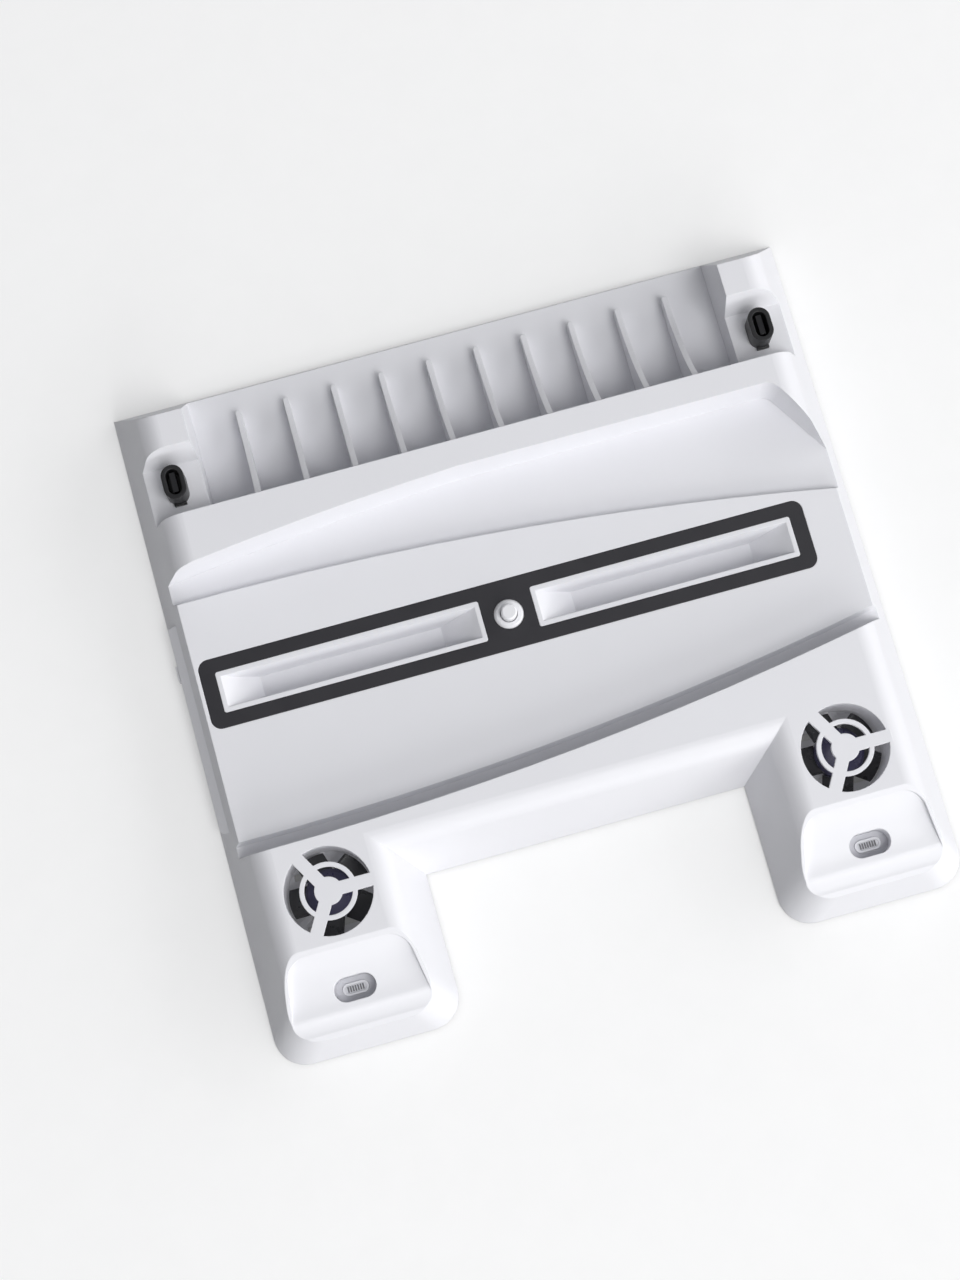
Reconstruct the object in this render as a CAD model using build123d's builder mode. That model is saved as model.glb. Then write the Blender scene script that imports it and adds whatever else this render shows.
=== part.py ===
"""Console vertical stand with two cooling fans, two charging pods and a game rack."""
import math
import os

from build123d import *

os.makedirs("parts", exist_ok=True)

# Outer housing, in mm; heights are above the housing's lower rim
overall_width = 240.0
overall_depth = 232.7
deck_height = 27.3
wall_draft = 21.7
rear_draft = 19.0
edge_round = 8.4
skin = 2.2
foot_proud = 0.8

# Front notch between the two pods
notch_half = 56.2
notch_depth = 50.8
pod_corner_round = 12.0
join_depth = 37.5

# Cradle: a raised tongue that tapers to the right, with a trough all round it
tongue_y = 1.95
tongue_height = 15.8
trough_height = 12.0
tongue_half_left = 41.8
tongue_half_mid = 37.0
tongue_half_right = 20.0
trough_gap = 4.8
trough_draft = 4.5
tongue_run = 0.9
ridge_front_in = 55.1
ridge_bend_x = -10.0
ridge_mid_drop = 4.1
ridge_left_drop = 11.0
ridge_turn_in = 19.6
ridge_end_in = 5.2
ridge_end_drop = 22.8
ridge_turn_round = 5.0

# Game rack behind the cradle
ridge_back_in = 44.7
panel_height = 4.0
rack_side = 26.6
rack_draft = 3.0
rib_count = 10
rib_pitch = 17.1
rib_thickness = 2.0
rib_rear_in = 10.0
rib_rear_height = 5.0
rib_mid_height = 9.5
rib_front_height = 22.0

# Wells that hold the two charge posts
well_back_in = 21.1
well_slope_run = 4.0
post_side = 16.4
post_rear_in = 33.1
post_length = 12.0
post_width = 7.7
post_height = 9.5
post_wall = 1.5
post_depth = 7.0
post_stem_inset = 1.2
post_stem_length = 3.5
post_key_width = 4.3
post_key_depth = 0.5
post_key_height = 1.6
tongue_plug_thickness = 1.9
tongue_plug_length = 6.8
tongue_plug_height = 6.2

# Inlaid dark frame with two pockets and the console's locating screw
trim_x = -6.0
trim_offset = 8.86
trim_length = 212.7
trim_width = 24.15
trim_round = 3.6
trim_depth = 0.8
trim_clear = 0.05
rim_length = 92.0
rim_width = 14.2
rim_round = 0.8
rim_centre = 55.1
pocket_length = 88.9
pocket_width = 10.8
pocket_depth = 10.4
pocket_end_run = 12.5
pocket_side_run = 1.8
collar_radius = 5.1
collar_height = 1.6
collar_proud = 0.5
collar_chamfer = 0.8
collar_hole_clear = 0.25
pin_radius = 2.75
pin_clear = 0.06
pin_proud = 4.5
pin_chamfer = 0.5
wheel_radius = 9.0
wheel_thickness = 2.6
wheel_gap = 0.3
wheel_notches = 12
wheel_notch_width = 1.6
coin_slot_width = 1.6
coin_slot_depth = 1.0

# Pods: sloped face with a dish, a front lip and a charging port
pod_offset = 0.4
slope_top_in = 35.3
slope_foot_in = 6.3
slope_foot_height = 15.0
dish_border = 1.3
dish_round = 8.0
dish_front_round = 3.0
dish_top_in = 33.5
dish_sag = 2.4
dish_step_in = 13.2
dish_step_round = 3.0
dish_step_sag = 0.65
dish_front_in = 7.7
port_in = 19.9
port_length = 14.2
port_width = 8.1
port_floor_height = 12.4
port_plate_length = 8.9
port_plate_width = 4.1
port_plate_height = 1.4
bezel_thickness = 0.8
port_face_depth = 0.5
port_face_border = 0.7
contact_count = 7
contact_pitch = 0.85
contact_width = 0.45
contact_length = 1.9
contact_height = 0.4
port_stem_length = 3.0

# Fans under the deck
fan_in = 52.1
duct_depth = 12.0
fan_opening_radius = 14.8
grille_ring_outer = 9.6
grille_ring_inner = 8.0
grille_hub_radius = 4.7
grille_spoke_width = 4.4
grille_thickness = 1.6
fan_size = 32.0
fan_corner = 3.0
fan_depth = 9.0
fan_bay_clear = 0.4
fan_bore_radius = 14.9
stator_radius = 6.0
stator_height = 2.0
strut_width = 2.2
strut_height = 1.4
axle_radius = 1.0
axle_clear = 0.05
axle_length = 4.6
rotor_gap = 0.4
rotor_hub_radius = 8.4
rotor_hub_chamfer = 0.9
rotor_hub_height = 5.4
rotor_tip_clear = 0.7
blade_count = 5
blade_chord = 10.5
blade_thickness = 1.1
blade_pitch = 22.0
blade_turn = 36.0

# Ledge on the left wall with the side button and the power inlet
ledge_rear_y = 38.45
ledge_front_y = -35.05
ledge_face_height = 4.6
ledge_top_height = 9.3
ledge_end_run = 1.6
ledge_inset = 0.5
ledge_root = 6.0
button_y = 22.6
button_length = 5.7
button_height = 2.2
button_proud = 0.9
button_clear = 0.2
button_round = 0.4
button_flange = 0.7
button_flange_thickness = 1.0
button_travel = 0.6
button_mid_height = 2.1
switch_gap = 0.3
switch_thickness = 3.0
inlet_y = -4.05
inlet_width = 9.0
inlet_height = 2.9
inlet_wall = 0.35
inlet_depth = 7.0
inlet_tongue_width = 6.4
inlet_tongue_height = 0.7

# Base plate, feet, screws and board
plate_thickness = 1.6
plate_inset = 5.0
plate_clear = 0.1
foot_radius = 6.0
foot_recess = 0.8
foot_side = 16.0
foot_end = 14.35
screw_head_radius = 2.6
screw_head_height = 1.1
screw_shank_radius = 1.2
screw_shank_clear = 0.06
screw_length = 7.0
screw_x = 50.0
vent_count = 5
vent_pitch = 4.6
vent_width = 2.4
vent_length = 22.0
board_length = 74.0
board_width = 24.0
board_thickness = 1.6
board_y = -16.05
board_x = -40.0
hollow_side = 13.0
hollow_wall = 3.8
bar_hollow_half = 40.0
bar_hollow_wall = 3.0
standoff_width = 4.0
standoff_height = 2.4
standoff_inset = 4.0
chip_height = 1.6
chip_length = 12.0
chip_width = 10.0
chip_pitch = 20.0
column_spread = 12.2
column_width = 4.0

# Derived values
base_z = foot_proud
deck_z = base_z + deck_height
tongue_z = base_z + tongue_height
trough_z = base_z + trough_height
panel_z = base_z + panel_height
half_width = overall_width / 2
rear_y = overall_depth / 2
front_y = -overall_depth / 2
lean = math.tan(math.radians(wall_draft))
rear_lean = math.tan(math.radians(rear_draft))
over = 6.0
notch_y = front_y + notch_depth
join_y = notch_y + join_depth
ridge_front_y = rear_y - ridge_front_in
ridge_back_y = rear_y - ridge_back_in
ridge_turn_x = half_width - ridge_turn_in
ridge_end_x = half_width - ridge_end_in
rack_half = half_width - rack_side
rib_rear_y = rear_y - rib_rear_in
well_back_y = rear_y - well_back_in
post_x = half_width - post_side
post_y = rear_y - post_rear_in
trim_y = tongue_y + trim_offset
pod_mid = (half_width + notch_half) / 2
pod_x = pod_mid + pod_offset
slope_top_y = front_y + slope_top_in
slope_foot_y = front_y + slope_foot_in
dish_top_y = front_y + dish_top_in
dish_step_y = front_y + dish_step_in
dish_front_y = front_y + dish_front_in
port_y = front_y + port_in
fan_y = front_y + fan_in
foot_x = half_width - foot_side
foot_rear_y = rear_y - foot_end
foot_front_y = front_y + foot_end
ledge_x = -half_width + ledge_inset
slope_fall = (deck_height - slope_foot_height) / (slope_top_y - slope_foot_y)
plate_top = base_z + plate_thickness
fan_top = deck_z - duct_depth
fan_bottom = fan_top - fan_depth
wheel_bottom = base_z + wheel_gap
wheel_top = wheel_bottom + wheel_thickness
wheel_bay_top = wheel_top + wheel_gap
wheel_bay_radius = wheel_radius + wheel_gap
port_z = base_z + port_floor_height
button_z = base_z + plate_thickness + button_mid_height
ledge_face_z = base_z + plate_thickness + ledge_face_height
ledge_top_z = base_z + ledge_top_height
sides = (("left", -1), ("right", 1))
foot_spots = [(sign * foot_x, y) for sign in (-1, 1) for y in (foot_rear_y, 0, foot_front_y)]


def across(y):
    # plane facing the front, standing at depth y, local x to the right and y up
    return Plane.XZ.offset(-y)


def along(x):
    # plane facing right, standing at x, local x to the rear and y up
    return Plane.YZ.offset(x)


def level(z):
    # horizontal plane at height z
    return Plane.XY.offset(z)


def tongue_half(x):
    # half depth of the tongue at x, on a curve through its three given half depths
    mean = (tongue_half_left + tongue_half_right) / 2
    tilt = (tongue_half_right - tongue_half_left) / overall_width
    sag = (mean - tongue_half_mid) / half_width ** 2
    return tongue_half_mid + tilt * x + sag * x * x


def tongue_edge(x, sign):
    # rear edge of the tongue at x for sign 1, front edge for sign -1
    return tongue_y + sign * tongue_half(x)


def trough_edge(x):
    # front edge of the trough in front of the tongue
    return tongue_edge(x, -1) - trough_gap


def dish_half(y):
    # half width of the dish at depth y, a border inside the pod's leaning walls
    height = deck_height - slope_fall * (slope_top_y - y)
    return (half_width - notch_half) / 2 - height * lean - dish_border


screw_rear_y = (ridge_front_y + ridge_back_y) / 2
screw_bar_y = (notch_y + trough_edge(0)) / 2
screw_spots = [(sign * screw_x, y) for sign in (-1, 1) for y in (screw_rear_y, screw_bar_y)]

# Solid of the cradle's hollow, cut from the housing later
reach = half_width + over
ridge_left_y = ridge_front_y - ridge_left_drop
with BuildPart() as cradle_tool:
    with BuildSketch(level(trough_z)) as cradle:
        with BuildLine():
            ThreePointArc(
                (-reach, ridge_left_y),
                ((ridge_bend_x - reach) / 2, ridge_front_y - ridge_mid_drop),
                (ridge_bend_x, ridge_front_y),
            )
            Line((ridge_bend_x, ridge_front_y), (ridge_turn_x, ridge_front_y))
            end_slope = -ridge_end_drop / (ridge_end_x - ridge_turn_x)
            far_y = ridge_front_y + end_slope * (reach - ridge_turn_x)
            Line((ridge_turn_x, ridge_front_y), (reach, far_y))
            Line((reach, far_y), (reach, trough_edge(reach)))
            ThreePointArc(
                (reach, trough_edge(reach)),
                (0, trough_edge(0)),
                (-reach, trough_edge(-reach)),
            )
            Line((-reach, trough_edge(-reach)), (-reach, ridge_left_y))
        make_face()
        corner = cradle.vertices().sort_by_distance((ridge_turn_x, ridge_front_y, trough_z))[0]
        fillet(corner, ridge_turn_round)
    extrude(amount=deck_z - trough_z + over, taper=-trough_draft)
    wide = reach + over
    for z, run in ((trough_z, tongue_run), (tongue_z, 0)):
        with BuildSketch(level(z)):
            with BuildLine():
                ThreePointArc(
                    (-wide, tongue_edge(-wide, 1) + run),
                    (0, tongue_edge(0, 1) + run),
                    (wide, tongue_edge(wide, 1) + run),
                )
                Line((wide, tongue_edge(wide, 1) + run), (wide, tongue_edge(wide, -1) - run))
                ThreePointArc(
                    (wide, tongue_edge(wide, -1) - run),
                    (0, tongue_edge(0, -1) - run),
                    (-wide, tongue_edge(-wide, -1) - run),
                )
                Line((-wide, tongue_edge(-wide, -1) - run), (-wide, tongue_edge(-wide, 1) + run))
            make_face()
    loft(mode=Mode.SUBTRACT)

# Solids of the two dishes, cut from the pods later
dish_tools = []
top_z = deck_z - slope_fall * (slope_top_y - dish_top_y)
step_z = deck_z - slope_fall * (slope_top_y - dish_step_y)
front_z = deck_z - slope_fall * (slope_top_y - dish_front_y)
for side, sign in sides:
    with BuildPart() as dish_tool:
        with BuildSketch(along(sign * pod_mid)) as profile:
            with BuildLine():
                ThreePointArc(
                    (dish_top_y, top_z),
                    ((dish_top_y + dish_step_y) / 2, (top_z + step_z) / 2 - dish_sag),
                    (dish_step_y, step_z),
                )
                ThreePointArc(
                    (dish_step_y, step_z),
                    ((dish_step_y + dish_front_y) / 2, (step_z + front_z) / 2 - dish_step_sag),
                    (dish_front_y, front_z),
                )
                Polyline(
                    (dish_front_y, front_z),
                    (dish_front_y, deck_z + over),
                    (dish_top_y, deck_z + over),
                    (dish_top_y, top_z),
                )
            make_face()
            fillet(profile.vertices().group_by(Axis.X)[1], dish_step_round)
        extrude(amount=half_width - notch_half, both=True)
        with BuildSketch(level(base_z)) as plan:
            with BuildLine():
                Polyline(
                    (sign * pod_mid - dish_half(dish_top_y), dish_top_y),
                    (sign * pod_mid + dish_half(dish_top_y), dish_top_y),
                    (sign * pod_mid + dish_half(dish_front_y), dish_front_y),
                    (sign * pod_mid - dish_half(dish_front_y), dish_front_y),
                    close=True,
                )
            make_face()
            fillet(plan.vertices().group_by(Axis.Y)[-1], dish_round)
            fillet(plan.vertices().group_by(Axis.Y)[0], dish_front_round)
        extrude(amount=deck_height + over, mode=Mode.INTERSECT)
    dish_tools.append(dish_tool.part)

# Solid of the ledge, joined to the housing later
ledge_wall_x = -half_width + ledge_top_height * lean
with BuildPart() as ledge_tool:
    with BuildSketch(across(ledge_rear_y)):
        with BuildLine():
            Polyline(
                (ledge_x, base_z + plate_thickness),
                (ledge_x, ledge_face_z),
                (ledge_wall_x, ledge_top_z),
                (ledge_wall_x + ledge_root, ledge_top_z),
                (ledge_wall_x + ledge_root, base_z + plate_thickness),
                close=True,
            )
        make_face()
    extrude(amount=ledge_rear_y - ledge_front_y)
    with BuildSketch(level(base_z)):
        with BuildLine():
            Polyline(
                (ledge_x, ledge_rear_y),
                (ledge_wall_x + ledge_root, ledge_rear_y),
                (ledge_wall_x + ledge_root, ledge_front_y),
                (ledge_wall_x, ledge_front_y),
                (ledge_x, ledge_front_y + ledge_end_run),
                close=True,
            )
        make_face()
    extrude(amount=ledge_top_height + over, mode=Mode.INTERSECT)

# Solids of the two pockets, cut from the tongue later
pocket_tools = []
for side, sign in sides:
    pocket_x = trim_x + sign * rim_centre
    pocket_z = tongue_z - pocket_depth
    with BuildPart() as pocket_tool:
        with BuildSketch(across(trim_y + pocket_width)):
            with BuildLine():
                Polyline(
                    (pocket_x - pocket_length / 2, tongue_z),
                    (pocket_x - pocket_length / 2 + pocket_end_run, pocket_z),
                    (pocket_x + pocket_length / 2 - pocket_end_run, pocket_z),
                    (pocket_x + pocket_length / 2, tongue_z),
                    close=True,
                )
            make_face()
        extrude(amount=2 * pocket_width)
        with BuildSketch(along(pocket_x)):
            with BuildLine():
                Polyline(
                    (trim_y - pocket_width / 2, tongue_z),
                    (trim_y - pocket_width / 2 + pocket_side_run, pocket_z),
                    (trim_y + pocket_width / 2 - pocket_side_run, pocket_z),
                    (trim_y + pocket_width / 2, tongue_z),
                    close=True,
                )
            make_face()
        extrude(amount=pocket_length, both=True, mode=Mode.INTERSECT)
    pocket_tools.append(pocket_tool.part)

# Solid of one rib with a round rear end, copied along the rack later
rib_foot_y = ridge_back_y - skin
rib_front_z = panel_z + rib_front_height
with BuildPart() as rib_tool:
    with BuildSketch(level(panel_z)):
        with Locations((0, (rib_foot_y + rib_rear_y - rib_thickness / 2) / 2)):
            Rectangle(rib_thickness, rib_rear_y - rib_thickness / 2 - rib_foot_y)
        with Locations((0, rib_rear_y - rib_thickness / 2)):
            Circle(rib_thickness / 2)
    extrude(amount=rib_front_height)
    with BuildSketch(along(0)):
        with BuildLine():
            Polyline(
                (rib_foot_y + skin, rib_front_z),
                (rib_foot_y, rib_front_z),
                (rib_foot_y, panel_z),
                (rib_rear_y, panel_z),
                (rib_rear_y, panel_z + rib_rear_height),
            )
            ThreePointArc(
                (rib_rear_y, panel_z + rib_rear_height),
                ((rib_rear_y + ridge_back_y) / 2, panel_z + rib_mid_height),
                (rib_foot_y + skin, rib_front_z),
            )
        make_face()
    extrude(amount=rib_thickness, both=True, mode=Mode.INTERSECT)

# White housing, one moulding
with BuildPart() as upper_shell:
    # full-width rear part
    with BuildSketch(across(rear_y + over)) as section:
        with BuildLine():
            Polyline(
                (-half_width, base_z),
                (half_width, base_z),
                (half_width - deck_height * lean, deck_z),
                (-half_width + deck_height * lean, deck_z),
                close=True,
            )
        make_face()
        fillet(section.vertices().group_by(Axis.Y)[-1], edge_round)
    extrude(amount=rear_y + over - join_y)
    # the two pods
    for side, sign in sides:
        with BuildSketch(across(join_y)) as section:
            with BuildLine():
                Polyline(
                    (sign * notch_half, base_z),
                    (sign * half_width, base_z),
                    (sign * (half_width - deck_height * lean), deck_z),
                    (sign * (notch_half + deck_height * lean), deck_z),
                    close=True,
                )
            make_face()
            fillet(section.vertices().group_by(Axis.Y)[-1], edge_round)
        extrude(amount=join_y - front_y + over)
    # the bar that joins them
    with BuildSketch(along(0)) as section:
        with BuildLine():
            Polyline(
                (notch_y, base_z),
                (join_y, base_z),
                (join_y, deck_z),
                (notch_y + deck_height * lean, deck_z),
                close=True,
            )
        make_face()
        fillet(section.vertices().group_by(Axis.Y)[-1].sort_by(Axis.X)[0], edge_round)
    extrude(amount=notch_half + deck_height * lean + edge_round, both=True)
    # leaning rear wall, leaning pod fronts and the pods' sloped faces
    top = deck_height + over
    with BuildSketch(along(0)):
        with BuildLine():
            Polyline(
                (rear_y, base_z),
                (rear_y + 2 * over, base_z),
                (rear_y + 2 * over, base_z + top),
                (rear_y - top * rear_lean, base_z + top),
                close=True,
            )
        make_face()
        with BuildLine():
            Polyline(
                (front_y, base_z),
                (front_y - 2 * over, base_z),
                (front_y - 2 * over, base_z + top),
                (front_y + top * lean, base_z + top),
                close=True,
            )
        make_face()
    extrude(amount=reach, both=True, mode=Mode.SUBTRACT)
    with BuildSketch(along(0)):
        with BuildLine():
            Polyline(
                (slope_top_y, deck_z),
                (front_y - over, deck_z - slope_fall * (slope_top_y - front_y + over)),
                (front_y - over, deck_z + over),
                (slope_top_y, deck_z + over),
                close=True,
            )
        make_face()
    extrude(amount=reach, both=True, mode=Mode.SUBTRACT)
    pod_edges = (
        upper_shell.edges()
        .filter_by(GeomType.LINE)
        .filter_by(lambda e: e.center().Y < slope_foot_y)
        .filter_by(lambda e: e.bounding_box().size.Z > slope_foot_height / 2)
    )
    fillet(pod_edges, pod_corner_round)
    # cradle, rack and wells
    add(cradle_tool.part, mode=Mode.SUBTRACT)
    rack_foot_y = ridge_back_y + (deck_height - panel_height) * math.tan(math.radians(rack_draft))
    with BuildSketch(level(panel_z)):
        with Locations((0, (rack_foot_y + rear_y + over) / 2)):
            Rectangle(2 * rack_half, rear_y + over - rack_foot_y)
    extrude(amount=deck_height, taper=-rack_draft, mode=Mode.SUBTRACT)
    well_rise = deck_height - tongue_height
    well_foot_y = well_back_y - well_slope_run
    for side, sign in sides:
        with BuildSketch(along(sign * (rack_half + reach) / 2)):
            with BuildLine():
                Polyline(
                    (ridge_back_y, tongue_z),
                    (well_foot_y, tongue_z),
                    (well_foot_y + 2 * well_slope_run, tongue_z + 2 * well_rise),
                    (ridge_back_y, tongue_z + 2 * well_rise),
                    close=True,
                )
            make_face()
        extrude(amount=(reach - rack_half) / 2, both=True, mode=Mode.SUBTRACT)
    # ribs that part the games
    for i in range(rib_count):
        rib_x = (i - (rib_count - 1) / 2) * rib_pitch
        add(rib_tool.part.moved(Location((rib_x, 0, 0))))
    # pods: dishes, ports, fan bays and grilles
    for dish in dish_tools:
        add(dish, mode=Mode.SUBTRACT)
    for side, sign in sides:
        with BuildSketch(level(port_z)):
            with Locations((sign * pod_x, port_y)):
                SlotOverall(port_length, port_width)
        extrude(amount=deck_height, mode=Mode.SUBTRACT)
        with BuildSketch(level(port_z - port_stem_length)):
            with Locations((sign * pod_x, port_y)):
                SlotOverall(port_plate_length + 2 * trim_clear, port_plate_width + 2 * trim_clear)
        extrude(amount=port_stem_length, mode=Mode.SUBTRACT)
        with BuildSketch(level(base_z)):
            with Locations((sign * pod_x, fan_y)):
                Rectangle(fan_size + 2 * fan_bay_clear, fan_size + 2 * fan_bay_clear)
        extrude(amount=deck_height - duct_depth, mode=Mode.SUBTRACT)
        with BuildSketch(level(fan_top)):
            with Locations((sign * pod_x, fan_y)):
                Circle(fan_opening_radius)
        extrude(amount=duct_depth, mode=Mode.SUBTRACT)
        with BuildSketch(level(deck_z - grille_thickness)):
            with Locations((sign * pod_x, fan_y)):
                Circle(grille_ring_outer)
                Circle(grille_ring_inner, mode=Mode.SUBTRACT)
                Circle(grille_hub_radius)
                with PolarLocations(fan_opening_radius / 2, 3):
                    Rectangle(fan_opening_radius + skin, grille_spoke_width)
        extrude(amount=grille_thickness)
    # trim seat, pockets and the locating screw's bore
    with BuildSketch(level(tongue_z - trim_depth)):
        with Locations((trim_x, trim_y)):
            RectangleRounded(
                trim_length + 2 * trim_clear, trim_width + 2 * trim_clear, trim_round + trim_clear
            )
            with Locations((-rim_centre, 0), (rim_centre, 0)):
                RectangleRounded(rim_length, rim_width, rim_round, mode=Mode.SUBTRACT)
    extrude(amount=trim_depth + over / 4, mode=Mode.SUBTRACT)
    for pocket in pocket_tools:
        add(pocket, mode=Mode.SUBTRACT)
    with BuildSketch(level(base_z)):
        with Locations((trim_x, trim_y)):
            Circle(wheel_bay_radius)
    extrude(amount=wheel_bay_top - base_z, mode=Mode.SUBTRACT)
    with BuildSketch(level(wheel_bay_top)):
        with Locations((trim_x, trim_y)):
            Circle(pin_radius + pin_clear)
    extrude(amount=deck_height, mode=Mode.SUBTRACT)
    with BuildSketch(level(tongue_z + collar_proud - collar_height)):
        with Locations((trim_x, trim_y)):
            Circle(collar_radius + trim_clear)
    extrude(amount=collar_height + over, mode=Mode.SUBTRACT)
    # post stems
    stem_length = post_length - 2 * post_stem_inset
    stem_width = post_width - 2 * post_stem_inset
    for side, sign in sides:
        with BuildSketch(level(tongue_z - post_stem_length - wheel_gap)):
            with Locations(Location((sign * post_x, post_y), 90)):
                SlotOverall(stem_length + 2 * trim_clear, stem_width + 2 * trim_clear)
        extrude(amount=post_stem_length + over / 2, mode=Mode.SUBTRACT)
    # ledge with its button and inlet
    add(ledge_tool.part)
    button_back_x = ledge_x + skin
    with BuildSketch(along(ledge_x - over)):
        with Locations((button_y, button_z)):
            Rectangle(button_length + 2 * button_clear, button_height + 2 * button_clear)
    extrude(amount=over + skin, mode=Mode.SUBTRACT)
    bay_depth = button_flange_thickness + button_travel + switch_gap + switch_thickness
    flange_length = button_length + 2 * button_flange
    flange_height = button_height + 2 * button_flange
    bay_top = button_z + flange_height / 2 + button_clear
    with BuildSketch(along(button_back_x)):
        with Locations((button_y, (base_z + bay_top) / 2)):
            Rectangle(flange_length + 2 * button_clear, bay_top - base_z)
    extrude(amount=bay_depth, mode=Mode.SUBTRACT)
    with BuildSketch(along(ledge_x - over)):
        with Locations((inlet_y, button_z)):
            SlotOverall(inlet_width + 2 * trim_clear, inlet_height + 2 * trim_clear)
    extrude(amount=over + inlet_depth, mode=Mode.SUBTRACT)
    # underside: plate seat, hollows and screw holes
    with BuildSketch(level(base_z)) as seat:
        with BuildLine():
            inner = half_width - plate_inset
            Polyline(
                (-inner, rear_y - plate_inset),
                (inner, rear_y - plate_inset),
                (inner, front_y + plate_inset),
                (notch_half + plate_inset, front_y + plate_inset),
                (notch_half + plate_inset, notch_y + plate_inset),
                (-notch_half - plate_inset, notch_y + plate_inset),
                (-notch_half - plate_inset, front_y + plate_inset),
                (-inner, front_y + plate_inset),
                close=True,
            )
        make_face()
        fillet(seat.vertices().group_by(Axis.Y)[0], pod_corner_round - plate_inset)
    extrude(amount=plate_thickness + plate_clear, mode=Mode.SUBTRACT)
    with BuildSketch(level(base_z)):
        hollow_spans = (
            (tongue_edge(-half_width, -1) + hollow_wall, trim_y - rim_width / 2 - hollow_wall),
            (trim_y + rim_width / 2 + hollow_wall, ridge_front_y - hollow_wall),
        )
        for low_y, high_y in hollow_spans:
            with Locations((0, (low_y + high_y) / 2)):
                Rectangle(2 * (half_width - hollow_side), high_y - low_y)
    extrude(amount=trough_height - skin, mode=Mode.SUBTRACT)
    bar_low_y = notch_y + tongue_height * lean + bar_hollow_wall
    bar_high_y = trough_edge(0) - bar_hollow_wall
    with BuildSketch(level(base_z)):
        with Locations((0, (bar_low_y + bar_high_y) / 2)):
            Rectangle(2 * bar_hollow_half, bar_high_y - bar_low_y)
    extrude(amount=tongue_height, mode=Mode.SUBTRACT)
    with BuildSketch(level(plate_top)):
        with Locations(*screw_spots):
            Circle(screw_shank_radius + screw_shank_clear)
    extrude(amount=screw_length, mode=Mode.SUBTRACT)
upper_shell.part.label = "upper_shell"
export_step(upper_shell.part, "parts/upper_shell.step")

# Base plate with feet seats, fan intakes and the posts that carry fans and board
with BuildPart() as base_plate:
    with BuildSketch(level(base_z)) as outline:
        with BuildLine():
            shrink = plate_inset + plate_clear
            edge = half_width - shrink
            Polyline(
                (-edge, rear_y - shrink),
                (edge, rear_y - shrink),
                (edge, front_y + shrink),
                (notch_half + shrink, front_y + shrink),
                (notch_half + shrink, notch_y + shrink),
                (-notch_half - shrink, notch_y + shrink),
                (-notch_half - shrink, front_y + shrink),
                (-edge, front_y + shrink),
                close=True,
            )
        make_face()
        fillet(outline.vertices().group_by(Axis.Y)[0], pod_corner_round - plate_inset)
        with Locations((trim_x, trim_y)):
            Circle(wheel_bay_radius, mode=Mode.SUBTRACT)
        with Locations((-pod_x, fan_y), (pod_x, fan_y)):
            with GridLocations(0, vent_pitch, 1, vent_count):
                Rectangle(vent_length, vent_width, mode=Mode.SUBTRACT)
        with Locations(*screw_spots):
            Circle(screw_shank_radius + screw_shank_clear, mode=Mode.SUBTRACT)
    extrude(amount=plate_thickness)
    with BuildSketch(level(base_z)):
        with Locations(*foot_spots):
            Circle(foot_radius + trim_clear)
    extrude(amount=foot_recess, mode=Mode.SUBTRACT)
    with BuildSketch(level(base_z)):
        with Locations(*screw_spots):
            Circle(screw_head_radius + trim_clear)
    extrude(amount=screw_head_height, mode=Mode.SUBTRACT)
    with BuildSketch(level(plate_top)):
        with Locations((-pod_x, fan_y), (pod_x, fan_y)):
            with GridLocations(2 * column_spread, 2 * column_spread, 2, 2):
                Rectangle(column_width, column_width)
    extrude(amount=fan_bottom - plate_top)
    with BuildSketch(level(plate_top)):
        with Locations((board_x, board_y)):
            with GridLocations(
                board_length - 2 * standoff_inset, board_width - 2 * standoff_inset, 2, 2
            ):
                Rectangle(standoff_width, standoff_width)
    extrude(amount=standoff_height)
base_plate.part.label = "base_plate"
export_step(base_plate.part, "parts/base_plate.step")

# Rubber feet
with BuildPart() as rubber_feet:
    with BuildSketch(level(0)):
        with Locations(*foot_spots):
            Circle(foot_radius)
    extrude(amount=foot_proud + foot_recess)
rubber_feet.part.label = "rubber_feet"
export_step(rubber_feet.part, "parts/rubber_feet.step")

# Screws that hold the base plate
with BuildPart() as base_screws:
    with BuildSketch(level(base_z)):
        with Locations(*screw_spots):
            Circle(screw_head_radius)
    extrude(amount=screw_head_height)
    with BuildSketch(level(base_z)):
        with Locations(*screw_spots):
            Circle(screw_shank_radius)
    extrude(amount=plate_thickness + screw_length - wheel_gap)
base_screws.part.label = "base_screws"
export_step(base_screws.part, "parts/base_screws.step")

# Dark inlaid frame
with BuildPart() as trim_frame:
    with BuildSketch(level(tongue_z - trim_depth)):
        with Locations((trim_x, trim_y)):
            RectangleRounded(trim_length, trim_width, trim_round)
            with Locations((-rim_centre, 0), (rim_centre, 0)):
                RectangleRounded(
                    rim_length + 2 * trim_clear,
                    rim_width + 2 * trim_clear,
                    rim_round + trim_clear,
                    mode=Mode.SUBTRACT,
                )
            Circle(collar_radius + trim_clear, mode=Mode.SUBTRACT)
    extrude(amount=trim_depth)
trim_frame.part.label = "trim_frame"
export_step(trim_frame.part, "parts/trim_frame.step")

# Collar round the locating screw
with BuildPart() as screw_collar:
    with BuildSketch(level(tongue_z + collar_proud - collar_height)):
        with Locations((trim_x, trim_y)):
            Circle(collar_radius)
            Circle(pin_radius + collar_hole_clear, mode=Mode.SUBTRACT)
    extrude(amount=collar_height)
    rim = screw_collar.edges().group_by(Axis.Z)[-1].sort_by(lambda e: e.length)[-1]
    chamfer(rim, collar_chamfer)
screw_collar.part.label = "screw_collar"
export_step(screw_collar.part, "parts/screw_collar.step")

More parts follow.
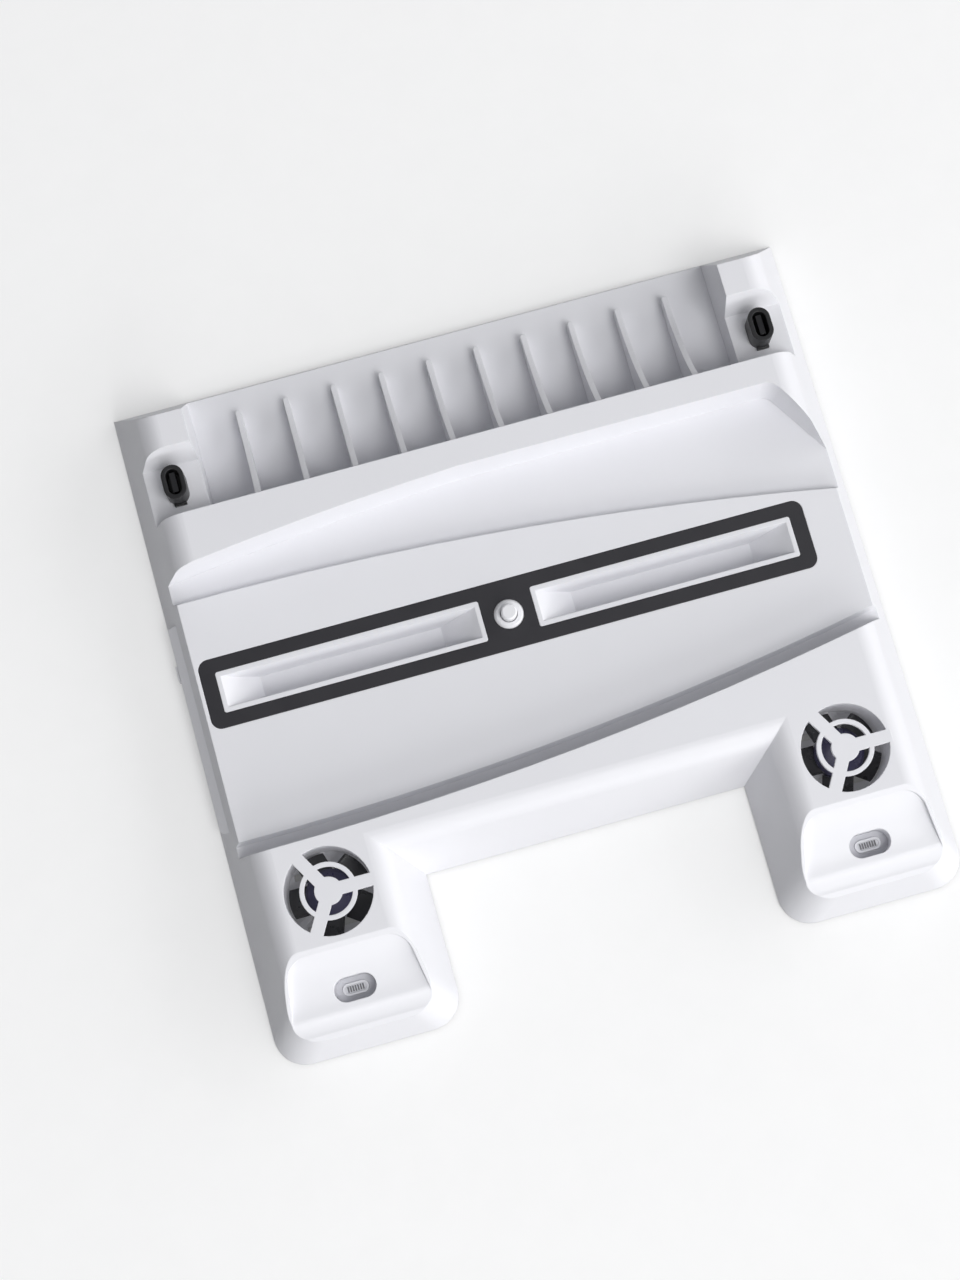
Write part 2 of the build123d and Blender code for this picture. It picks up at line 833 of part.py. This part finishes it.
# Locating screw with the wheel that turns it from below
with BuildPart() as console_screw:
    with BuildSketch(level(wheel_bottom)):
        with Locations((trim_x, trim_y)):
            Circle(wheel_radius)
            with PolarLocations(wheel_radius, wheel_notches):
                Rectangle(wheel_notch_width, wheel_notch_width, mode=Mode.SUBTRACT)
    extrude(amount=wheel_thickness)
    with BuildSketch(level(wheel_top)):
        with Locations((trim_x, trim_y)):
            Circle(pin_radius)
    extrude(amount=tongue_z + pin_proud - wheel_top)
    chamfer(console_screw.edges().group_by(Axis.Z)[-1], pin_chamfer)
    with BuildSketch(level(wheel_bottom)):
        with Locations((trim_x, trim_y)):
            Rectangle(wheel_radius, coin_slot_width)
    extrude(amount=coin_slot_depth, mode=Mode.SUBTRACT)
console_screw.part.label = "console_screw"
export_step(console_screw.part, "parts/console_screw.step")

stator_top = fan_bottom + stator_height
rotor_bottom = stator_top + rotor_gap
rotor_radius = fan_bore_radius - rotor_tip_clear
hub_wall_height = rotor_hub_height - rotor_hub_chamfer
cavity_z = tongue_z + post_height - post_depth
contact_z = port_z + port_plate_height - port_face_depth
for side, sign in sides:
    # fan frame with its stator and axle
    with BuildPart() as fan_frame:
        with BuildSketch(level(fan_bottom)):
            with Locations((sign * pod_x, fan_y)):
                RectangleRounded(fan_size, fan_size, fan_corner)
                Circle(fan_bore_radius, mode=Mode.SUBTRACT)
        extrude(amount=fan_depth)
        with BuildSketch(level(fan_bottom)):
            with Locations((sign * pod_x, fan_y)):
                with PolarLocations(fan_bore_radius / 2, 3, start_angle=90):
                    Rectangle(fan_size / 2, strut_width)
        extrude(amount=strut_height)
        with BuildSketch(level(fan_bottom)):
            with Locations((sign * pod_x, fan_y)):
                Circle(stator_radius)
        extrude(amount=stator_height)
        with BuildSketch(level(stator_top)):
            with Locations((sign * pod_x, fan_y)):
                Circle(axle_radius)
        extrude(amount=axle_length)
    fan_frame.part.label = "fan_frame_" + side
    export_step(fan_frame.part, "parts/fan_frame_" + side + ".step")

    # rotor with its blades
    with BuildPart() as fan_rotor:
        with Locations((sign * pod_x, fan_y, rotor_bottom + hub_wall_height / 2)):
            with PolarLocations((rotor_radius + rotor_hub_radius) / 2, blade_count, start_angle=blade_turn):
                Box(
                    rotor_radius - rotor_hub_radius + 2 * blade_thickness,
                    blade_chord,
                    blade_thickness,
                    rotation=(blade_pitch, 0, 0),
                )
        with BuildSketch(level(rotor_bottom)):
            with Locations((sign * pod_x, fan_y)):
                Circle(rotor_radius)
        extrude(amount=hub_wall_height, mode=Mode.INTERSECT)
        with BuildSketch(level(rotor_bottom)):
            with Locations((sign * pod_x, fan_y)):
                Circle(rotor_hub_radius)
        extrude(amount=hub_wall_height)
        with BuildSketch(level(rotor_bottom + hub_wall_height)):
            with Locations((sign * pod_x, fan_y)):
                Circle(rotor_hub_radius)
        extrude(amount=rotor_hub_chamfer, taper=45)
        with BuildSketch(level(rotor_bottom)):
            with Locations((sign * pod_x, fan_y)):
                Circle(axle_radius + axle_clear)
        extrude(amount=axle_length, mode=Mode.SUBTRACT)
    fan_rotor.part.label = "fan_rotor_" + side
    export_step(fan_rotor.part, "parts/fan_rotor_" + side + ".step")

    # charge post and the contact tongue in it
    with BuildPart() as charge_post:
        with BuildSketch(level(tongue_z)):
            with Locations(Location((sign * post_x, post_y), 90)):
                SlotOverall(post_length, post_width)
        extrude(amount=post_height)
        with BuildSketch(level(tongue_z)):
            with Locations((sign * post_x, post_y - post_length / 2)):
                Rectangle(post_key_width, 2 * post_key_depth)
        extrude(amount=post_key_height)
        with BuildSketch(level(tongue_z - post_stem_length)):
            with Locations(Location((sign * post_x, post_y), 90)):
                SlotOverall(post_length - 2 * post_stem_inset, post_width - 2 * post_stem_inset)
        extrude(amount=post_stem_length)
        with BuildSketch(level(cavity_z)):
            with Locations(Location((sign * post_x, post_y), 90)):
                SlotOverall(post_length - 2 * post_wall, post_width - 2 * post_wall)
        extrude(amount=post_depth, mode=Mode.SUBTRACT)
    charge_post.part.label = "charge_post_" + side
    export_step(charge_post.part, "parts/charge_post_" + side + ".step")
    with BuildPart() as post_tongue:
        with BuildSketch(level(cavity_z)):
            with Locations((sign * post_x, post_y)):
                Rectangle(tongue_plug_thickness, tongue_plug_length)
        extrude(amount=tongue_plug_height)
    post_tongue.part.label = "post_tongue_" + side
    export_step(post_tongue.part, "parts/post_tongue_" + side + ".step")

    # bezel on the floor of the port's recess
    with BuildPart() as port_bezel:
        with BuildSketch(level(port_z)):
            with Locations((sign * pod_x, port_y)):
                SlotOverall(port_length - 2 * trim_clear, port_width - 2 * trim_clear)
                SlotOverall(
                    port_plate_length + 2 * trim_clear,
                    port_plate_width + 2 * trim_clear,
                    mode=Mode.SUBTRACT,
                )
        extrude(amount=bezel_thickness)
    port_bezel.part.label = "port_bezel_" + side
    export_step(port_bezel.part, "parts/port_bezel_" + side + ".step")

    # pod port and the row of contacts in its face
    with BuildPart() as pod_port:
        with BuildSketch(level(port_z - port_stem_length)):
            with Locations((sign * pod_x, port_y)):
                SlotOverall(port_plate_length, port_plate_width)
        extrude(amount=port_stem_length + port_plate_height)
        with BuildSketch(level(contact_z)):
            with Locations((sign * pod_x, port_y)):
                SlotOverall(
                    port_plate_length - 2 * port_face_border, port_plate_width - 2 * port_face_border
                )
        extrude(amount=port_face_depth, mode=Mode.SUBTRACT)
    pod_port.part.label = "pod_port_" + side
    export_step(pod_port.part, "parts/pod_port_" + side + ".step")
    with BuildPart() as port_contacts:
        with BuildSketch(level(contact_z)):
            with Locations((sign * pod_x, port_y)):
                with GridLocations(contact_pitch, 0, contact_count, 1):
                    Rectangle(contact_width, contact_length)
        extrude(amount=contact_height)
    port_contacts.part.label = "port_contacts_" + side
    export_step(port_contacts.part, "parts/port_contacts_" + side + ".step")

# Side button with the flange that keeps it in
with BuildPart() as side_button:
    with BuildSketch(along(ledge_x - button_proud)):
        with Locations((button_y, button_z)):
            Rectangle(button_length, button_height)
    extrude(amount=button_proud + skin + button_flange_thickness)
    fillet(side_button.edges().group_by(Axis.X)[0], button_round)
    with BuildSketch(along(button_back_x + trim_clear)):
        with Locations((button_y, button_z)):
            Rectangle(flange_length, flange_height)
    extrude(amount=button_flange_thickness - trim_clear)
side_button.part.label = "side_button"
export_step(side_button.part, "parts/side_button.step")

# Switch behind the button
with BuildPart() as button_switch:
    with BuildSketch(along(button_back_x + bay_depth - switch_thickness)):
        with Locations((button_y, button_z)):
            Rectangle(flange_length, flange_height)
    extrude(amount=switch_thickness)
button_switch.part.label = "button_switch"
export_step(button_switch.part, "parts/button_switch.step")

# Power inlet in the ledge, with its contact tongue
with BuildPart() as power_inlet:
    with BuildSketch(along(ledge_x)):
        with Locations((inlet_y, button_z)):
            SlotOverall(inlet_width, inlet_height)
    extrude(amount=inlet_depth)
    with BuildSketch(along(ledge_x)):
        with Locations((inlet_y, button_z)):
            SlotOverall(inlet_width - 2 * inlet_wall, inlet_height - 2 * inlet_wall)
    extrude(amount=inlet_depth - inlet_wall, mode=Mode.SUBTRACT)
power_inlet.part.label = "power_inlet"
export_step(power_inlet.part, "parts/power_inlet.step")
with BuildPart() as inlet_tongue:
    with BuildSketch(along(ledge_x + inlet_wall)):
        with Locations((inlet_y, button_z)):
            Rectangle(inlet_tongue_width, inlet_tongue_height)
    extrude(amount=inlet_depth - 2 * inlet_wall)
inlet_tongue.part.label = "inlet_tongue"
export_step(inlet_tongue.part, "parts/inlet_tongue.step")

# Circuit board on the plate's posts
board_z = plate_top + standoff_height
with BuildPart() as main_board:
    with BuildSketch(level(board_z)):
        with Locations((board_x, board_y)):
            Rectangle(board_length, board_width)
    extrude(amount=board_thickness)
    with BuildSketch(level(board_z + board_thickness)):
        with Locations((board_x, board_y)):
            with GridLocations(chip_pitch, 0, 3, 1):
                Rectangle(chip_length, chip_width)
    extrude(amount=chip_height)
main_board.part.label = "main_board"
export_step(main_board.part, "parts/main_board.step")
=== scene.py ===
import math

import bpy
from mathutils import Euler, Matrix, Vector


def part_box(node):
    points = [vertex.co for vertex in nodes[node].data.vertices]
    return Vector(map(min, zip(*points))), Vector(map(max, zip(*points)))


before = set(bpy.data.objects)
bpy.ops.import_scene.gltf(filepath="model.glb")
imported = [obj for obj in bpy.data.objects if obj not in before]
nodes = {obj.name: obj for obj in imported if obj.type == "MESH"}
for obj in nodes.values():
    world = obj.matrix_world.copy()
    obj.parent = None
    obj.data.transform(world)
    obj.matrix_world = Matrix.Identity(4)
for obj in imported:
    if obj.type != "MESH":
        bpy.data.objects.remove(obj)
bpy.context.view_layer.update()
scene = bpy.context.scene
mm = 0.001
sides = ("left", "right")
print("frame loaded:", len(nodes), "nodes")


def toLinear(hexColour):
    # sRGB hex to linear RGBA
    parts = [int(hexColour[i:i + 2], 16) / 255 for i in (1, 3, 5)]
    return [p / 12.92 if p <= 0.04045 else ((p + 0.055) / 1.055) ** 2.4 for p in parts] + [1.0]


def addNode(tree, kind, settings=None, values=None, links=None):
    # one node, its settings, its socket values, and what feeds its sockets
    node = tree.nodes.new(kind)
    for key, value in (settings or {}).items():
        setattr(node, key, value)
    for key, value in (values or {}).items():
        node.inputs[key].default_value = value
    for key, source in (links or {}).items():
        tree.links.new(source, node.inputs[key])
    return node


def newMaterial(name):
    # an empty node material, ready for a shader and an output
    made = bpy.data.materials.new(name)
    made.use_nodes = True
    made.node_tree.nodes.clear()
    return made, made.node_tree


def grainScale(sizeMm):
    # noise scale whose bumps are about sizeMm across, in object metres
    return 1.0 / (sizeMm * mm)


def addNoise(tree, sizeMm, noise, place):
    # a noise pattern of a real size; noise is its detail and roughness
    detail, roughness = noise
    return addNode(tree, "ShaderNodeTexNoise", None,
                   {"Scale": grainScale(sizeMm), "Detail": detail, "Roughness": roughness}, {"Vector": place})


def mixColours(tree, dark, light, share):
    # from dark to light by a share that another node gives
    return addNode(tree, "ShaderNodeMix", {"data_type": "RGBA"},
                   {6: toLinear(dark), 7: toLinear(light)}, {0: share})


# how fine each of the plastic's patterns is: (detail, roughness), and the part of the rub noise in use
plasticNoise = {"cloud": (3.0, 0.5), "grain": (2.0, 0.6), "rub": (6.0, 0.65), "rubFrom": 0.3, "rubTo": 0.7}


def mouldedPlastic(name, look):
    # injection-moulded plastic: a soft body colour with faint flow clouding, a spark-eroded
    # grain that breaks up the gloss, rubbed and dusty patches, and softened tool edges
    made, tree = newMaterial(name)
    place = addNode(tree, "ShaderNodeTexCoord").outputs["Object"]
    cloud = addNoise(tree, look["cloudMm"], plasticNoise["cloud"], place)
    grain = addNoise(tree, look["grainMm"], plasticNoise["grain"], place)
    rub = addNoise(tree, look["rubMm"], plasticNoise["rub"], place)
    colour = mixColours(tree, look["dark"], look["light"], cloud.outputs["Fac"])
    if "hub" in look:
        # the middle of a rotor, out to the hub's radius, has its own colour
        flat = addNode(tree, "ShaderNodeVectorMath", {"operation": "MULTIPLY"}, {1: (1.0, 1.0, 0.0)}, {0: place})
        away = addNode(tree, "ShaderNodeVectorMath", {"operation": "DISTANCE"},
                       {1: look["hub"]["centre"]}, {0: flat.outputs["Vector"]})
        inside = addNode(tree, "ShaderNodeMath", {"operation": "LESS_THAN"},
                         {1: look["hub"]["radiusMm"] * mm}, {0: away.outputs["Value"]})
        colour = addNode(tree, "ShaderNodeMix", {"data_type": "RGBA"}, {7: toLinear(look["hub"]["colour"])},
                         {0: inside.outputs["Value"], 6: colour.outputs[2]})
    lowRough, highRough = look["rough"]
    gloss = addNode(tree, "ShaderNodeMapRange", None,
                    {"From Min": plasticNoise["rubFrom"], "From Max": plasticNoise["rubTo"],
                     "To Min": lowRough, "To Max": highRough}, {"Value": rub.outputs["Fac"]})
    edge = addNode(tree, "ShaderNodeBevel", {"samples": 6}, {"Radius": look["edgeMm"] * mm})
    bump = addNode(tree, "ShaderNodeBump", None, {"Strength": look["bump"], "Distance": look["grainMm"] * mm},
                   {"Height": grain.outputs["Fac"], "Normal": edge.outputs["Normal"]})
    shader = addNode(tree, "ShaderNodeBsdfPrincipled", None, {"IOR": look["ior"]},
                     {"Base Color": colour.outputs[2], "Roughness": gloss.outputs["Result"],
                      "Normal": bump.outputs["Normal"]})
    if "paintedGlow" in look:
        # painted light: inside the housing, above this height, the surface glows faintly in its own colour, standing
        # in for light that doesn't reach in
        height = addNode(tree, "ShaderNodeSeparateXYZ", None, None, {0: place})
        within = addNode(tree, "ShaderNodeMath", {"operation": "GREATER_THAN"},
                         {1: look["paintedGlow"]["aboveMm"] * mm}, {0: height.outputs["Z"]})
        paintedGlow = addNode(tree, "ShaderNodeMath", {"operation": "MULTIPLY"},
                       {1: look["paintedGlow"]["strength"]}, {0: within.outputs["Value"]})
        tree.links.new(colour.outputs[2], shader.inputs["Emission Color"])
        tree.links.new(paintedGlow.outputs["Value"], shader.inputs["Emission Strength"])
    addNode(tree, "ShaderNodeOutputMaterial", None, None, {"Surface": shader.outputs["BSDF"]})
    return made


def drawnSteel(name, look):
    # drawn and plated steel: fine lines along one way stretch its reflections
    made, tree = newMaterial(name)
    place = addNode(tree, "ShaderNodeTexCoord").outputs["Object"]
    stretch = addNode(tree, "ShaderNodeMapping", None, {"Scale": (1.0, 1.0, look["stretch"])}, {"Vector": place})
    lines = addNode(tree, "ShaderNodeTexNoise", None, {"Scale": grainScale(look["lineMm"]), "Detail": 4.0},
                    {"Vector": stretch.outputs["Vector"]})
    lowRough, highRough = look["rough"]
    gloss = addNode(tree, "ShaderNodeMapRange", None, {"To Min": lowRough, "To Max": highRough},
                    {"Value": lines.outputs["Fac"]})
    shader = addNode(tree, "ShaderNodeBsdfPrincipled", None,
                     {"Base Color": toLinear(look["colour"]), "Metallic": 1.0}, {"Roughness": gloss.outputs["Result"]})
    addNode(tree, "ShaderNodeOutputMaterial", None, None, {"Surface": shader.outputs["BSDF"]})
    return made


# white ABS housing, moulded in a spark-eroded tool: satin, cool white
housingLook = {"dark": "#e6e6ea", "light": "#eaeaee", "rough": (0.38, 0.50), "ior": 1.53,
               "cloudMm": 60, "grainMm": 0.5, "rubMm": 14, "bump": 0.04, "edgeMm": 0.4}
# the same ABS for the base plate, coarser; its upper side glows faintly (painted light), so it shows dimly between the
# fan blades
plateLook = dict(housingLook, dark="#dcdce0", light="#e2e2e6", rough=(0.5, 0.62), bump=0.10,
                 paintedGlow={"aboveMm": 2.3, "strength": 0.075})
# white ABS polished in the tool for the collar, the pin and the button
polishedLook = dict(housingLook, dark="#ececef", light="#f0f0f3", rough=(0.22, 0.32), bump=0.01, edgeMm=0.35)
# black ABS for the inlaid frame: a dark satin sheet with faint dust
trimLook = {"dark": "#252429", "light": "#2a292e", "rough": (0.42, 0.58), "ior": 1.53,
            "cloudMm": 25, "grainMm": 0.45, "rubMm": 9, "bump": 0.06, "edgeMm": 0.25}
# glass-filled nylon for the posts: charcoal, a little dusty
postLook = dict(trimLook, dark="#19191b", light="#202022", rough=(0.36, 0.5), edgeMm=0.5)
# pale grey PBT for the fan frames, glowing faintly all over (painted light): seen between the blades, it keeps the
# gaps from going black
fanLook = dict(trimLook, dark="#d6d6da", light="#dcdce0", rough=(0.4, 0.55), edgeMm=0.2,
               paintedGlow={"aboveMm": 0.0, "strength": 0.06})
# black PBT blades round a navy hub
rotorLook = dict(trimLook, dark="#2a2a2c", light="#303033", rough=(0.24, 0.34), bump=0.02, edgeMm=0.3)
hubLook = {"colour": "#3a3852", "radiusMm": 8.5}
# black PBT that carries contacts: glossier than the nylon round it
contactLook = dict(trimLook, dark="#19191b", light="#232326", rough=(0.25, 0.4), edgeMm=0.1)
# grey ABS of the ports: a pale plate in a mid grey ring, and darker contact strips on the plate; the ring's mid grey
# is partly its own tone and partly painted shade of the recess floor it lines
portLook = dict(trimLook, dark="#e6e6ea", light="#ececf0", rough=(0.35, 0.45), edgeMm=0.2)
bezelLook = dict(trimLook, dark="#cacacf", light="#d0d0d5", rough=(0.45, 0.55), edgeMm=0.2)
stripLook = dict(trimLook, dark="#77777b", light="#808084", rough=(0.3, 0.4), edgeMm=0.1)
# die-cut rubber feet: dull, with a coarse skin
rubberLook = dict(trimLook, dark="#29292a", light="#313132", rough=(0.7, 0.85), bump=0.25, edgeMm=0.4)
# green solder mask, glossy over copper
boardLook = dict(trimLook, dark="#12401f", light="#17522a", rough=(0.25, 0.4), cloudMm=6, edgeMm=0.1)
# screws and inlet shell
steelLook = {"colour": "#b9babd", "rough": (0.25, 0.4), "lineMm": 0.48, "stretch": 12.0}

whiteAbs = mouldedPlastic("white ABS, spark-eroded", housingLook)
plateAbs = mouldedPlastic("white ABS, coarse", plateLook)
polishedAbs = mouldedPlastic("white ABS, polished", polishedLook)
trimAbs = mouldedPlastic("black ABS, satin inlay", trimLook)
postNylon = mouldedPlastic("charcoal nylon, moulded", postLook)
fanPbt = mouldedPlastic("pale grey PBT, fan frame", fanLook)
bezelAbs = mouldedPlastic("mid grey ABS and painted shade, port bezel", bezelLook)
contactPbt = mouldedPlastic("black PBT, contact carrier", contactLook)
stripPbt = mouldedPlastic("grey PBT, contact strips", stripLook)
portAbs = mouldedPlastic("light grey ABS, port plate", portLook)
footRubber = mouldedPlastic("EPDM rubber, die cut", rubberLook)
boardMask = mouldedPlastic("FR4 board, green solder mask", boardLook)
platedSteel = drawnSteel("plated steel, drawn", steelLook)

finishes = {
    "upper_shell": whiteAbs, "base_plate": plateAbs, "rubber_feet": footRubber, "base_screws": platedSteel,
    "trim_frame": trimAbs, "screw_collar": polishedAbs, "console_screw": polishedAbs, "side_button": polishedAbs,
    "button_switch": contactPbt, "power_inlet": platedSteel, "inlet_tongue": contactPbt, "main_board": boardMask,
}
fanMiddle, fanTop, fanWidth = {}, {}, {}
for side in sides:
    low, high = (Vector(corner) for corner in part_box("fan_frame_" + side))
    fanMiddle[side] = Vector(((low.x + high.x) / 2, (low.y + high.y) / 2, 0.0))
    fanTop[side] = high.z
    fanWidth[side] = high.x - low.x
    hub = dict(hubLook, centre=fanMiddle[side])
    finishes["fan_frame_" + side] = fanPbt
    finishes["fan_rotor_" + side] = mouldedPlastic("grey PBT, rotor " + side, dict(rotorLook, hub=hub))
    finishes["charge_post_" + side] = postNylon
    finishes["post_tongue_" + side] = contactPbt
    finishes["pod_port_" + side] = portAbs
    finishes["port_bezel_" + side] = bezelAbs
    finishes["port_contacts_" + side] = stripPbt
for name, node in nodes.items():
    node.data.materials.clear()
    node.data.materials.append(finishes[name])
print("finishes on", len(finishes), "nodes")


def paperFibre(tree, look):
    # paper colour with faint fibres, so that it isn't one flat tone
    fibre = addNode(tree, "ShaderNodeTexNoise", None, {"Scale": grainScale(look["fibreMm"]), "Detail": 2.0})
    return mixColours(tree, look["seen"], look["fleck"], fibre.outputs["Fac"])


def paperShader(tree, look, tone, seen):
    # matt paper, lifted a little where it is seen
    paper = addNode(tree, "ShaderNodeBsdfDiffuse", None, None, {"Color": tone.outputs[2]})
    lift = addNode(tree, "ShaderNodeMath", {"operation": "MULTIPLY"}, {1: look["lift"]}, {0: seen})
    glow = addNode(tree, "ShaderNodeEmission", None, None, {"Strength": lift.outputs[0]})
    both = addNode(tree, "ShaderNodeAddShader", None, None, {0: paper.outputs[0], 1: glow.outputs[0]})
    addNode(tree, "ShaderNodeOutputMaterial", None, None, {"Surface": both.outputs[0]})


# pale floor: the eye sees white paper with the shadow on it, while what it throws back on the part is
# a greyer paper, as under a part that stands on a dull table
floorLook = {"sizeM": 10.0, "dropMm": 0.2, "seen": "#cacaca", "fleck": "#cecece", "thrown": "#959595",
             "fibreMm": 1.1, "lift": 0.37}
bpy.ops.mesh.primitive_plane_add(size=floorLook["sizeM"], location=(0, 0, -floorLook["dropMm"] * mm))
floor = bpy.context.object
floor.name = "floor"
paperSweep, tree = newMaterial("studio paper, matt")
ray = addNode(tree, "ShaderNodeLightPath")
seen = addNode(tree, "ShaderNodeMath", {"operation": "MAXIMUM"},
               None, {0: ray.outputs["Is Camera Ray"], 1: ray.outputs["Is Glossy Ray"]})
paperTone = paperFibre(tree, floorLook)
bounceTone = addNode(tree, "ShaderNodeMix", {"data_type": "RGBA"},
                     {6: toLinear(floorLook["thrown"])}, {0: seen.outputs[0], 7: paperTone.outputs[2]})
paperShader(tree, floorLook, bounceTone, seen.outputs[0])
floor.data.materials.append(paperSweep)

# the paper under each fan, in the part's shade: a copy with a darker tone and less lift than the floor, painted shade
# on top of the real shadow, so that through the blades it looks dim
shadeLook = {"borderMm": 4.0, "dropMm": 0.1, "seen": "#c4c4c4", "fleck": "#cacaca", "fibreMm": 1.1, "lift": 0.08}
paintedShadePaper, tree = newMaterial("studio paper, painted shade")
ray = addNode(tree, "ShaderNodeLightPath")
paperShader(tree, shadeLook, paperFibre(tree, shadeLook), ray.outputs["Is Camera Ray"])
for side in sides:
    bpy.ops.mesh.primitive_plane_add(size=fanWidth[side] + 2 * shadeLook["borderMm"] * mm,
                                     location=fanMiddle[side] - Vector((0, 0, shadeLook["dropMm"] * mm)))
    shade = bpy.context.object
    shade.name = "floor_under_fan_" + side
    shade.data.materials.append(paintedShadePaper)
print("floor ready")

# soft studio light: a low row of boxes from the front round to the right, one high at the front,
# a weak one at the left; turns count from +X, so -90 is the front
softBox = {"awayM": 3.6, "sizeM": 1.8, "aimMm": (0, 0, 15)}
lightRig = {
    "low front boxes": {"turnsDeg": (-90, -60), "riseDeg": 20, "watts": 27.0},
    "low right boxes": {"turnsDeg": (-30, 0, 30), "riseDeg": 20, "watts": 23.5},
    "high front box": {"turnsDeg": (-60,), "riseDeg": 60, "watts": 58.0},
    "left box": {"turnsDeg": (-150,), "riseDeg": 35, "watts": 3.0},
}
aim = Vector(softBox["aimMm"]) * mm
for name, lamp in lightRig.items():
    rise = math.radians(lamp["riseDeg"])
    for turnDeg in lamp["turnsDeg"]:
        data = bpy.data.lights.new(name, "AREA")
        data.energy = lamp["watts"]
        data.size = softBox["sizeM"]
        box = bpy.data.objects.new(name, data)
        turn = math.radians(turnDeg)
        toward = Vector((math.cos(rise) * math.cos(turn), math.cos(rise) * math.sin(turn), math.sin(rise)))
        box.location = aim + toward * softBox["awayM"]
        box.rotation_euler = toward.to_track_quat("Z", "Y").to_euler()
        scene.collection.objects.link(box)
# a faint lamp under each grille's hub: the light that a white housing's thin walls let into the ducts
ductLight = {"aboveFanMm": 7.5, "radiusMm": 3.5, "watts": 0.00045}
for side in sides:
    data = bpy.data.lights.new("duct light " + side, "POINT")
    data.energy = ductLight["watts"]
    data.shadow_soft_size = ductLight["radiusMm"] * mm
    faint = bpy.data.objects.new("duct light " + side, data)
    faint.location = fanMiddle[side] + Vector((0, 0, fanTop[side] + ductLight["aboveFanMm"] * mm))
    faint.visible_camera = False
    scene.collection.objects.link(faint)
# the room lights the part faintly, but looks pale where a low view shows it behind the floor
roomLook = {"colour": "#f2f4f8", "strength": 0.245, "seenMore": 0.55}
room = bpy.data.worlds.new("room")
scene.world = room
room.use_nodes = True
tree = room.node_tree
background = tree.nodes["Background"]
ray = addNode(tree, "ShaderNodeLightPath")
strength = addNode(tree, "ShaderNodeMath", {"operation": "MULTIPLY_ADD"},
                   {1: roomLook["seenMore"], 2: roomLook["strength"]}, {0: ray.outputs["Is Camera Ray"]})
background.inputs["Color"].default_value = toLinear(roomLook["colour"])
tree.links.new(strength.outputs["Value"], background.inputs["Strength"])
print("light rig ready")

# the photograph's viewpoint, nearly straight down
view = {"placeMm": (-55.27, -132.67, 827.47), "turnDeg": (9.964, 0.047, -15.506),
        "lensMm": 68.47, "sensorMm": 36.0, "clipM": 0.01}
camera = bpy.data.cameras.new("camera")
camera.lens = view["lensMm"]
camera.sensor_width = view["sensorMm"]
camera.clip_start = view["clipM"]
cameraObj = bpy.data.objects.new("camera", camera)
cameraObj.location = Vector(view["placeMm"]) * mm
cameraObj.rotation_euler = Euler([math.radians(a) for a in view["turnDeg"]])
scene.collection.objects.link(cameraObj)
scene.camera = cameraObj
scene.view_settings.view_transform = "Standard"
